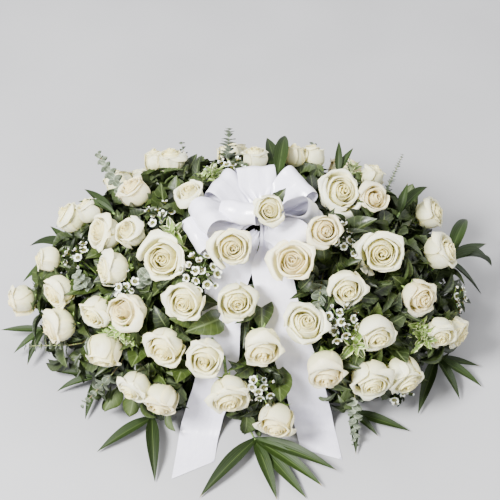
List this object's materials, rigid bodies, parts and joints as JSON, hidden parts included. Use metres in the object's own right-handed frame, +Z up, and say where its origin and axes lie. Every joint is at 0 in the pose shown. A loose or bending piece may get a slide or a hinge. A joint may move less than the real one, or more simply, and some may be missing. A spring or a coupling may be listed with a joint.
{
  "type": "casket spray",
  "caption": "Low domed casket spray of white roses with palm, eucalyptus and wax flowers, a satin bow and two ribbon tails, in foam on a saddle tray.",
  "frame": {"origin": "middle of the saddle tray's flat underside", "axes": "+X along the casket, to the right as seen by the viewer; +Y away from the viewer, to the back; +Z up; the two ribbon tails run out towards -Y"},
  "size_m": [0.9402, 0.7806, 0.4087],
  "materials": {
    "rose": "soft matt petals, warm white",
    "greens": "leathery leaves and stems, dark green",
    "pittosporum": "olive green leaves with cream edges",
    "eucalyptus": "bloomy grey-green leaves",
    "wax_flower": "small waxy white flowers",
    "satin": "white satin ribbon",
    "foam": "green floral foam",
    "tray": "dark green moulded plastic",
    "pick": "green-stained wooden pick"
  },
  "bodies": {
    "root": {"saddle_tray": "tray", "foam_brick": "foam", "bow_pick": "pick", "bow_loops": "satin", "ribbon_tail_left": "satin", "ribbon_tail_right": "satin", "pittosporum": "pittosporum", "eucalyptus_left": "eucalyptus", "eucalyptus_right": "eucalyptus", "wax_flowers_left": "wax_flower", "wax_flowers_middle": "wax_flower", "wax_flowers_right": "wax_flower", "greens_1": "greens", "greens_2": "greens", "greens_3": "greens", "greens_4": "greens", "greens_5": "greens", "greens_6": "greens", "rose_01": "rose", "rose_02": "rose", "rose_03": "rose", "rose_04": "rose", "rose_05": "rose", "rose_06": "rose", "rose_07": "rose", "rose_08": "rose", "rose_09": "rose", "rose_10": "rose", "rose_11": "rose", "rose_12": "rose", "rose_13": "rose", "rose_14": "rose", "rose_15": "rose", "rose_16": "rose", "rose_17": "rose", "rose_18": "rose", "rose_19": "rose", "rose_20": "rose", "rose_21": "rose", "rose_22": "rose", "rose_23": "rose", "rose_24": "rose", "rose_25": "rose", "rose_26": "rose", "rose_27": "rose", "rose_28": "rose", "rose_29": "rose", "rose_30": "rose", "rose_31": "rose", "rose_32": "rose", "rose_33": "rose", "rose_34": "rose", "rose_35": "rose", "rose_36": "rose", "rose_37": "rose", "rose_38": "rose", "rose_39": "rose", "rose_40": "rose", "rose_41": "rose", "rose_42": "rose"}
  },
  "joints": []
}
